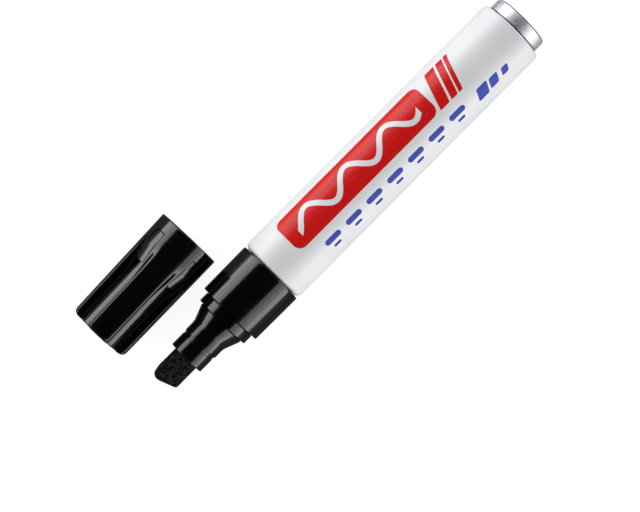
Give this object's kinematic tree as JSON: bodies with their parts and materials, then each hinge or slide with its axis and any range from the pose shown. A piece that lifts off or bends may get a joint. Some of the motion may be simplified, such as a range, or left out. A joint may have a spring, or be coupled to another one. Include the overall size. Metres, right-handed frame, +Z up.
{
  "type": "permanent marker",
  "caption": "Chisel-tip permanent marker with a round lacquered aluminium barrel, black moulded section and a ribbed push-on cap laid beside it.",
  "frame": {"origin": "middle of the footprint of the marker and its cap, on the table that they lie on", "axes": "+X along the marker from the nib to the rear end, +Y from the marker to the cap beside it, +Z up"},
  "size_m": [0.133, 0.0394, 0.0188],
  "materials": {
    "lacquered_aluminium": "glossy white lacquer, bare aluminium spigot",
    "black_plastic": "moulded, glossy",
    "inked_felt": "pressed felt soaked with ink",
    "inked_wadding": "fibre wadding soaked with ink",
    "clear_film": "thin milky film"
  },
  "bodies": {
    "marker": {"barrel": "lacquered_aluminium", "front_section": "black_plastic", "ink_reservoir": "inked_wadding", "reservoir_wrap": "clear_film"},
    "nib": {"nib": "inked_felt"},
    "cap": {"cap": "black_plastic"}
  },
  "joints": [
    {"name": "cap_slide", "type": "slide", "parent": "marker", "child": "cap", "axis": [0.9997, 0.0257, 0], "range_m": [-0.0328, 0]},
    {"name": "nib_slide", "type": "slide", "parent": "marker", "child": "nib", "axis": [1, 0, 0], "range_m": [-0.0425, 0]}
  ]
}
